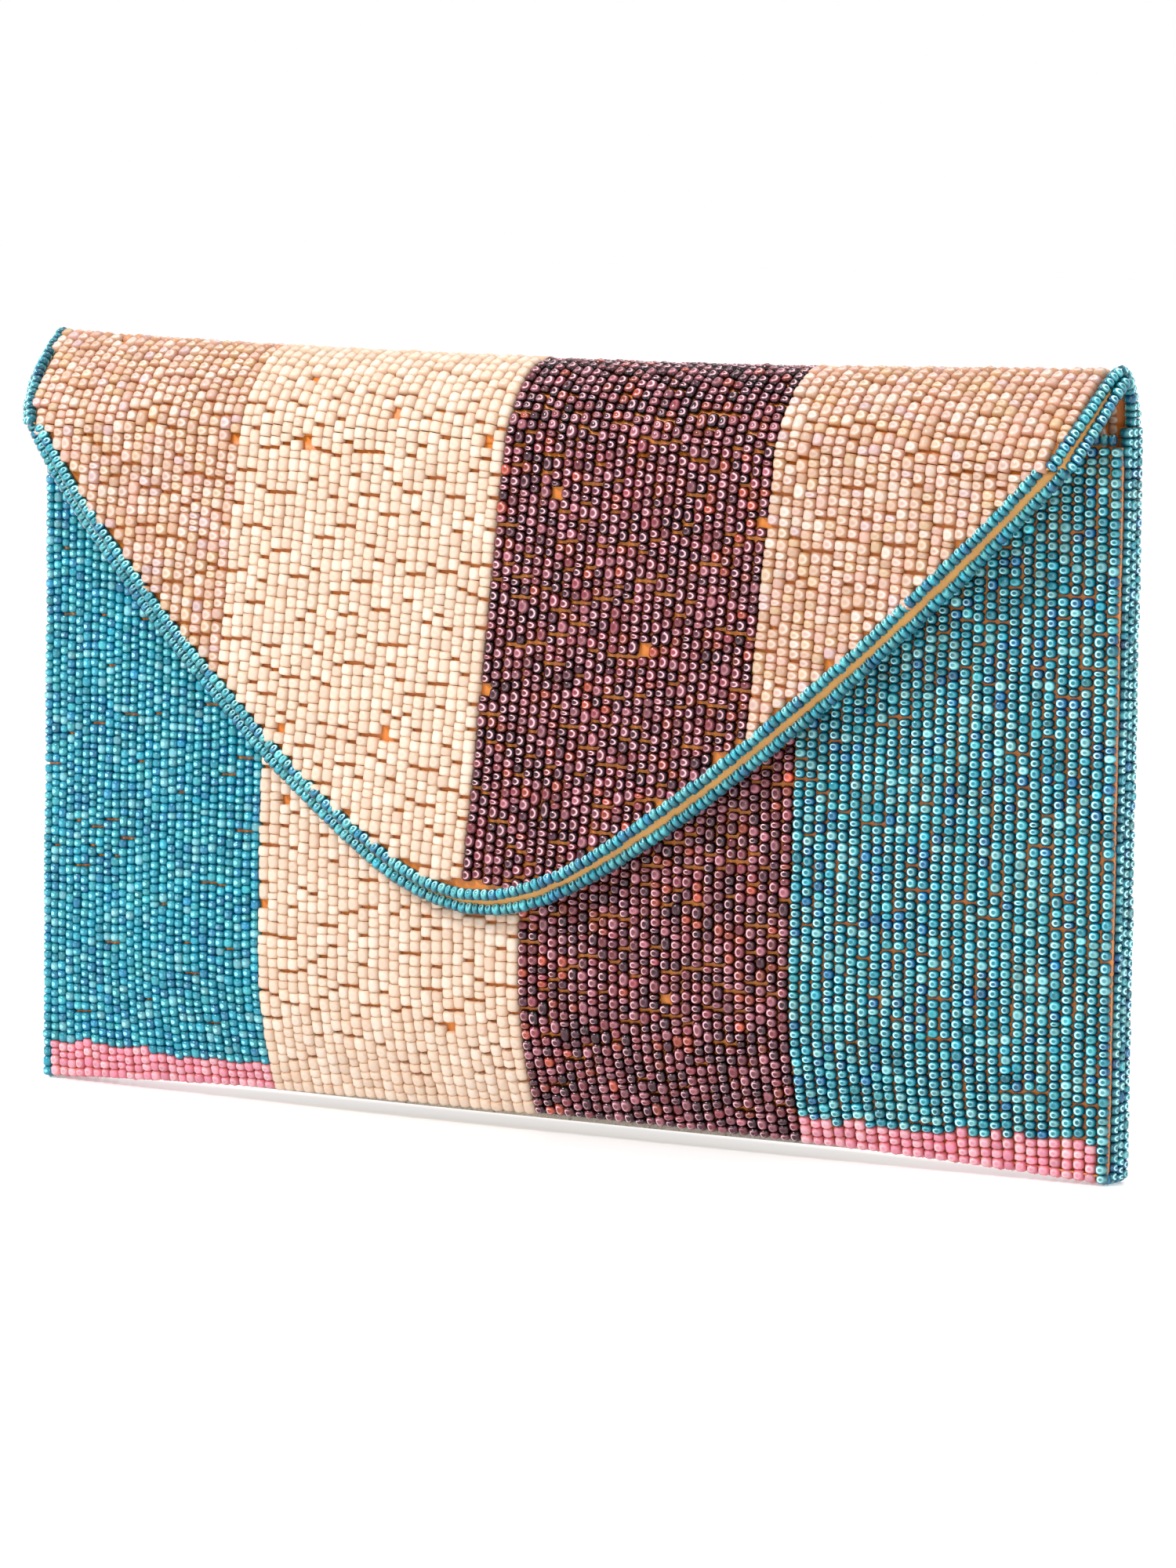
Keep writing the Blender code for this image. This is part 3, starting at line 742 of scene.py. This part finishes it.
base_cloth = shell("base_ground_cloth", base_grid(CLOTH_AT, 0.0006), base_grid(CLOTH_AT + CLOTH, 0.0006))
place(base_cloth, ground_satin, "purse", "gold_satin", "beaded_base")
BASE_BEAD_UP = 0.0012          # the beads' centres, above the base's face
rng = np.random.default_rng(31)
strung = {}
for label, kind, low, high in FRONT_STRIPES:
    base_kind = "pink" if kind in ("turquoise", "aqua") else kind
    for x in stripe_columns(low, high, KINDS[kind][2]):
        u = x / HALF
        y = np.linspace(front_y(u, 0.0) + 0.0013, back_y(u, 0.0) - 0.0003, 12)
        path = np.stack([np.full_like(y, x), y, np.full_like(y, arch(u) + BASE_BEAD_UP)], -1)
        down = np.tile([0.0, 0.0, -1.0], (len(y), 1))
        edge = abs(x) > HALF - 0.003
        column = string(path, down, "turquoise" if edge else base_kind, rng)
        strung.setdefault("turquoise" if edge else base_kind, []).append(column)
for kind, columns in strung.items():
    place(beads("base_beads_" + kind, columns), GLASS[kind], "purse", "peach_beads")


# ------------
# Wadding: a thin felt of white fibre, cut to the panel and laid between the cloth and the board,
# where it rounds the panel off.
# ------------
def wadding_finish():
    """White fibre felt: matted threads and shallow hollows."""
    finish = Finish("fibre_wadding", Sheen_Weight=0.5, Specular_IOR_Level=0.1)
    mat = finish.noise(1800.0, 6.0)
    color = finish.mix(mat, (0.66, 0.64, 0.60, 1.0), (0.88, 0.87, 0.84, 1.0))
    return finish.surface(Base_Color=color, Roughness=0.85 + mat * 0.1, Normal=finish.bump(mat, 0.0004, 0.8))


felt = wadding_finish()
FIELD_SPAN = 0.90              # share of the width inside the side seams
FIELD_TOP = 0.1472
PANEL_FIELD = (0.0052, FIELD_SPAN, FIELD_TOP)
PAD_SOFT = 0.0003              # how far the pad thins at its edges
u_edge = np.linspace(-1, 1, 61)[None, :]
soft_edge = PAD_SOFT * (1 - np.abs(u_edge) ** 20)[..., None] * np.array([0, 1, 0])
pad_front = front_grid(0.00315, *PANEL_FIELD)
pad = shell("front_wadding_pad", pad_front - soft_edge, pad_front + (0, 0.00035, 0))
place(pad, felt, "purse", "wadding", "front_wadding")
BACK_FIELD_HALF = 0.119
back_field_rows = np.linspace(0.0092 - BACK_TOP_Z, -0.002, 34)
pad = shell("back_wadding_pad", strip_grid(back_field_rows, BACK_FIELD_HALF, 0.0028),
            strip_grid(back_field_rows, BACK_FIELD_HALF, 0.0036))
place(pad, felt, "purse", "wadding", "back_wadding")


# ------------
# Lining: gold satin cut to each panel and turned in at the edges. It shows inside the fold's open
# ends and when the flap is up. The slip pocket is a flat patch of it with a rolled binding.
# ------------
lining_satin = satin_finish("gold_lining_satin", (0.62, 0.35, 0.09), (0.42, 0.20, 0.04), 0.6)
SLACK = 0.00012
LINING = 0.0003
PANEL_LINING_AT = 0.00535      # depth of the front's and back's lining under the beads' outer face


def slack(grid, toward):
    """Let a lining hang a hair loose: slow waves across it, none at its edges."""
    rows, columns = grid.shape[:2]
    v = np.linspace(0, 1, rows)[:, None]
    w = np.linspace(0, 1, columns)[None, :]
    wave = np.sin(v * 9 + 5 * np.sin(w * 7)) * np.sin(math.pi * v) * np.sin(math.pi * w)
    return grid + (SLACK * wave)[..., None] * np.asarray(toward)


near = slack(front_grid(PANEL_LINING_AT, *PANEL_FIELD), (0, 1, 0))
far = slack(front_grid(PANEL_LINING_AT + LINING, *PANEL_FIELD), (0, 1, 0))
front_lining = shell("front_lining_satin", near, far)
place(front_lining, lining_satin, "purse", "gold_satin", "front_lining")

near = slack(strip_grid(back_field_rows, BACK_FIELD_HALF, PANEL_LINING_AT), (0, -1, 0))
back_lining = shell("back_lining_satin", near, near - (0, LINING, 0))
place(back_lining, lining_satin, "purse", "gold_satin", "back_lining")

BASE_LINING_AT = 0.0041
base_lining = shell("base_lining_satin", base_grid(BASE_LINING_AT, 0.0028, FIELD_SPAN),
                    base_grid(BASE_LINING_AT + LINING, 0.0028, FIELD_SPAN))
place(base_lining, lining_satin, "purse", "gold_satin", "base_lining")

rear_line = np.linspace(-0.002, math.pi / 2, 20)
turn_in = np.interp(rear_line, (-0.002, 0.0, 0.9), (0.0054, 0.0048, 0.0029))
piece = strip_cloth("rear_fold_lining", rear_line, np.interp(rear_line, (-0.002, 0.5), (0.121, 0.1262)),
                    turn_in, LINING, lining_satin, REAR_BEND, "fold_lining")
front_line = np.linspace(math.pi / 2, math.pi, 20)
turn_in = np.interp(front_line, (2.2, math.pi), (0.0029, 0.0042))
piece = strip_cloth("front_fold_lining", front_line, flap_half(front_line) - 0.0028, turn_in, LINING,
                    lining_satin, FRONT_BEND)
lining_line = drop_rows(0.0028)
piece = strip_cloth("flap_lining_satin", lining_line, flap_half(lining_line, 0.0028), 0.0042, LINING,
                    lining_satin, "flap", "flap_lining")

POCKET_HALF = 0.075
POCKET_BOTTOM = 0.030
POCKET_TOP = 0.118
POCKET_AT = 0.0061
pocket_rows = np.linspace(POCKET_BOTTOM, POCKET_TOP, 26) - BACK_TOP_Z
near = slack(strip_grid(pocket_rows, POCKET_HALF, POCKET_AT), (0, -3, 0))
pocket = shell("slip_pocket_satin", near, near - (0, 0.0004, 0))
place(pocket, lining_satin, "purse", "gold_satin", "slip_pocket")


def rope(name, path, radius, out, squash=1.0, sides=12):
    """A rolled edge: a round or oval section carried along a path, closed at both ends."""
    along = np.gradient(path, axis=0)
    along /= np.linalg.norm(along, axis=1)[:, None]
    side = np.cross(along, out)
    side /= np.linalg.norm(side, axis=1)[:, None]
    up = np.cross(side, along)
    turn = np.linspace(0, 2 * math.pi, sides, endpoint=False)[None, :, None]
    girth = radius * np.ones(len(path))
    girth[[0, -1]] *= 0.3
    ring = path[:, None] + girth[:, None, None] * (np.cos(turn) * side[:, None]
                                                   + squash * np.sin(turn) * up[:, None])
    index = np.arange(len(path) * sides).reshape(len(path), sides)
    after = np.roll(index, -1, axis=1)
    walls = np.stack([index[:-1], after[:-1], after[1:], index[1:]], -1).reshape(-1, 4)
    half = sides // 2
    fan = np.array([[i, i + 1, sides - 2 - i, sides - 1 - i] for i in range(half - 1)])
    quads = np.concatenate([walls, fan[:, ::-1], fan + index[-1, 0]])
    obj = mesh_of(name, ring.reshape(-1, 3), quads)
    run = np.append(0, np.cumsum(np.linalg.norm(np.diff(path, axis=0), axis=1)))
    flat = np.stack(np.broadcast_arrays(run[:, None], np.arange(sides)[None, :] * radius * 0.5), -1)
    lay_cut(obj, flat.reshape(-1, 2))
    return obj


x = np.linspace(-POCKET_HALF + 0.0005, POCKET_HALF - 0.0005, 60)
path = wrap(x, POCKET_TOP + 0.0015 - BACK_TOP_Z, POCKET_AT + 0.0002)
binding = rope("pocket_rolled_binding", path, 0.0007, (0.0, 0.0, 1.0))
place(binding, lining_satin, "purse", "gold_satin", "pocket_binding")


# ------------
# Mouth: the front's cloth is turned over a rolled satin binding and sewn down, with one strand of
# turquoise beads along the top.
# ------------
BINDING_HALF = 0.1285
BINDING_AT = 0.0036            # its centre, behind the front's face
BINDING_R = 0.0021             # across; it is rolled half as high
x = np.linspace(-BINDING_HALF, BINDING_HALF, 90)
path = np.stack([x, front_y(x / HALF, MOUTH_Z) + BINDING_AT, np.full_like(x, MOUTH_Z - 0.0006)], -1)
binding = rope("mouth_rolled_binding", path, BINDING_R, (0.0, 0.0, 1.0), 0.5)
place(binding, lining_satin, "purse", "gold_satin", "mouth_satin_binding")

rng = np.random.default_rng(41)
x = np.linspace(-HALF + 0.0014, HALF - 0.0014, 120)
path = np.stack([x, front_y(x / HALF, MOUTH_Z) + 0.0013, np.full_like(x, MOUTH_Z + 0.0014)], -1)
KINDS["trim"] = (0.00172, 0.10, 0.00226, 0.66, 0.0, 1.0, 0.0, 0.16, 0.5, (
    (5, (0.012, 0.250, 0.310)), (1, (0.004, 0.170, 0.290)), (3, (0.060, 0.350, 0.380))))
up = np.tile([0.0, -0.6, 1.0], (len(x), 1))
place(beads("mouth_bead_strand", [string(path, up, "trim", rng)]), clear_glass, "purse", "turquoise_beads",
      "mouth_hem_strand")


# ------------
# Sides: a rolled satin seam joins front and back, and three strands of turquoise beads, sewn down it
# from the mouth to the base, cover the back's edge.
# ------------
SIDE_SEAM_R = 0.0009
SIDE_SEAM_IN = 0.0013          # its centre, in from the purse's end
SIDE_STRAND_IN = 0.0005
SIDE_STRANDS = (0.0022, 0.0045, 0.0068)     # how far behind the seam line each strand lies
for side, sign in (("left", -1), ("right", 1)):
    z = np.linspace(0.0012, MOUTH_Z - 0.001, 80)
    path = np.stack([np.full_like(z, sign * (HALF - SIDE_SEAM_IN)), np.full_like(z, SEAM_Y + 0.0010), z], -1)
    seam = rope(side + "_side_seam_satin", path, SIDE_SEAM_R, (1.0, 0.0, 0.0))
    place(seam, ground_satin, "purse", "gold_satin", side + "_side_seam")
    z = np.linspace(0.0008, BACK_TOP_Z, 80)
    outward = np.tile([float(sign), 0.0, 0.0], (len(z), 1))
    strands = []
    for y in SIDE_STRANDS:
        path = np.stack([np.full_like(z, sign * (HALF - SIDE_STRAND_IN)), np.full_like(z, SEAM_Y + y), z], -1)
        strands.append(string(path, outward, "aqua", rng))
    place(beads(side + "_side_beads", strands), clear_glass, "purse", "turquoise_beads",
          side + "_edge_strands")


# ------------
# Flap's trim: a strand of turquoise beads on the face's edge, one on the lining's edge, and the
# folded satin seam set back between them. Over the fold's ends they run on to the back's edge.
# ------------
def outline(inset, crest_inset, depth, crest_depth=None):
    """Path along the flap's outline, inset square to it, from one end of the fold's front to the other.

    The fold's parts run from the crest to the root, and hold their own inset and depth at the crest.
    """
    crest_depth = depth if crest_depth is None else crest_depth
    x = FOLD_HALF * np.sin(np.linspace(-1, 1, 260) * math.pi / 2)
    slope = np.gradient(flap_edge_z(x), x)
    length = np.sqrt(1 + slope ** 2)
    z = flap_edge_z(x) + inset / length
    x = (x - inset * slope / length)[z < FLAP_ROOT_Z]
    z = z[z < FLAP_ROOT_Z]
    fold = np.linspace(math.pi / 2, math.pi, 40)
    half = flap_half(fold) - np.interp(fold, (math.pi / 2, BROW, math.pi),
                                       (crest_inset, 0.7 * crest_inset + 0.3 * inset, inset))
    level = np.interp(fold, (math.pi / 2, math.pi), (crest_depth, depth))
    return (wrap(-half, fold, level), wrap(x, math.pi + FLAP_ROOT_Z - z, depth),
            wrap(half, fold, level)[::-1])


def band(upper, lower):
    """Two faces of a flat ribbon of folded satin that runs between two paths."""
    count = min(len(upper), len(lower))
    lines = []
    for path in (upper, lower):
        run = np.append(0, np.cumsum(np.linalg.norm(np.diff(path, axis=0), axis=1)))
        at = np.linspace(0, run[-1], count)
        lines.append(np.stack([np.interp(at, run, path[:, i]) for i in range(3)], 1))
    across = np.linspace(0, 1, 7)[:, None, None]
    grid = lines[0][None] * (1 - across) + lines[1][None] * across
    out = np.cross(np.gradient(lines[0], axis=0), lines[1] - lines[0])
    out /= np.linalg.norm(out, axis=1)[:, None]
    return grid, grid - out[None] * FOLDED_SATIN


FOLDED_SATIN = 0.0004
BACK_CREST_DEPTH = 0.0029      # the outline's strand comes up a little at the crest
SATIN_TOP = (FACE_INSET, CREST_INSET, 0.0024)
SATIN_BOTTOM = (0.0013, BACK_INSET, 0.0036)
SET_BACK = 0.0008              # of the satin behind the strands, at the fold's ends
face_run = outline(FACE_INSET, CREST_INSET, FACE_DEPTH)
back_run = outline(BACK_INSET, BACK_INSET, BACK_DEPTH, BACK_CREST_DEPTH)
for name, run, cad in (("flap_face_trim_beads", face_run, "flap_face_strand"),
                       ("flap_back_trim_beads", back_run, "flap_back_strand")):
    path = run[1]
    away = np.cross(np.gradient(path, axis=0), (0.0, 1.0, 0.0))
    outward = away / np.linalg.norm(away, axis=1)[:, None] * 0.6 + (0.0, -1.0, 0.0)
    place(beads(name, [string(path, outward, "trim", rng, radius=TRIM_R)]), clear_glass, "flap",
          "turquoise_beads", cad)
# A darker copy of the gold lining satin: painted shade for the band's recess between the two strands.
shaded_edge_satin = satin_finish("shaded_gold_satin", (0.72, 0.36, 0.08), (0.36, 0.15, 0.03), 2.0)
ribbon = shell("flap_edge_satin_band", *band(outline(*SATIN_TOP)[1], outline(*SATIN_BOTTOM)[1]))
place(ribbon, shaded_edge_satin, "flap", "gold_satin", "flap_edge_satin")

for side, sign, part in (("left", -1, 0), ("right", 1, 2)):
    front = [run[part] for run in (face_run, back_run)]
    rear = [wrap(sign * (flap_half(rear_rows) - np.interp(rear_rows, (0, math.pi / 2), insets)), rear_rows,
                 np.interp(rear_rows, (0, math.pi / 2), depths))
            for insets, depths in (((0.0012, CREST_INSET), (0.0012, FACE_DEPTH)),
                                   ((0.0012, BACK_INSET), (0.0034, BACK_CREST_DEPTH)))]
    for half_name, bend, paths in (("rear", REAR_BEND, rear), ("front", FRONT_BEND, front)):
        outward = [np.tile([0.8 * sign, -0.3 if half_name == "front" else 0.3, 0.6], (len(path), 1))
                   for path in paths]
        piece = beads(f"{side}_{half_name}_fold_trim_beads",
                      [string(path, away, "trim", rng, radius=TRIM_R) for path, away in zip(paths, outward)])
        cad = (side + "_fold_strand",) if half_name == "rear" else ()
        carry(piece, clear_glass, "turquoise_beads", bend, *cad)
        faces = band(*(path - (SET_BACK * sign, 0, 0) for path in paths))
        ribbon = shell(f"{side}_{half_name}_fold_satin_band", *faces)
        # The fold's bands take the same darker satin, painted shade for their recess.
        carry(ribbon, shaded_edge_satin, "gold_satin", bend)


# ------------
# Table, studio light and camera: a plain white table, three soft lights, and a long lens a little
# above the purse and to its right.
# ------------
def table_finish():
    """Plain white laminate, lit from below, with a faint gloss."""
    finish = Finish("white_table", Emission_Strength=0.30, Specular_IOR_Level=0.25)
    grain = finish.noise(3.0, 1.0)
    return finish.surface(Base_Color=(0.82, 0.82, 0.82, 1.0), Emission_Color=(1.0, 1.0, 1.0, 1.0),
                          Roughness=0.22 + grain * 0.02)


def panel(name, corners, material):
    """Flat four-cornered panel of the set."""
    mesh = bpy.data.meshes.new(name)
    mesh.from_pydata(corners, [], [(0, 1, 2, 3)])
    obj = bpy.data.objects.new(name, mesh)
    bpy.context.scene.collection.objects.link(obj)
    obj.data.materials.append(material)


panel("table", [(-6, -6, 0), (6, -6, 0), (6, 6, 0), (-6, 6, 0)], table_finish())


def facing(place_at, target, roll=0.0):
    """Turn that points -Z from a place to a target, with X level but for the roll."""
    back = np.asarray(place_at, float) - np.asarray(target, float)
    back /= np.linalg.norm(back)
    right = np.cross((0, 0, 1), back)
    right /= np.linalg.norm(right)
    up = np.cross(back, right)
    c, s = math.cos(roll), math.sin(roll)
    turn = np.eye(4)
    turn[:3, 0] = c * right + s * up
    turn[:3, 1] = c * up - s * right
    turn[:3, 2] = back
    turn[:3, 3] = place_at
    return turn.T


def softbox(name, place_at, size, power, target=(0.0, 0.0, 0.08)):
    """Square studio light aimed at the purse."""
    lamp = bpy.data.lights.new(name, "AREA")
    lamp.shape = "SQUARE"
    lamp.size = size
    lamp.energy = power
    obj = bpy.data.objects.new(name, lamp)
    bpy.context.scene.collection.objects.link(obj)
    obj.matrix_world = facing(place_at, target).tolist()


softbox("key_light", (-1.0, -1.5, 1.5), 0.45, 42.0)
softbox("fill_light", (1.5, -1.6, 0.5), 0.8, 9.0)
softbox("top_light", (0.1, 0.3, 1.9), 0.9, 12.0)
world = bpy.data.worlds.new("studio")
world.use_nodes = True
sky = world.node_tree.nodes["Background"].inputs
sky["Color"].default_value = (1.0, 1.0, 1.0, 1.0)
sky["Strength"].default_value = 1.0
bpy.context.scene.world = world
bpy.context.scene.view_settings.view_transform = "Standard"

YAW = math.radians(31.89)
LIFT = math.radians(5.56)
ROLL = math.radians(0.79)
DISTANCE = 1.5268
aim = np.array([0.00755, SEAM_Y, 0.07367])
toward = np.array([math.sin(YAW) * math.cos(LIFT), -math.cos(YAW) * math.cos(LIFT), math.sin(LIFT)])
lens = bpy.data.cameras.new("camera")
lens.sensor_width = 36.0
lens.lens = 167.1
camera = bpy.data.objects.new("camera", lens)
bpy.context.scene.collection.objects.link(camera)
camera.matrix_world = facing(aim + toward * DISTANCE, aim, ROLL).tolist()
bpy.context.scene.camera = camera
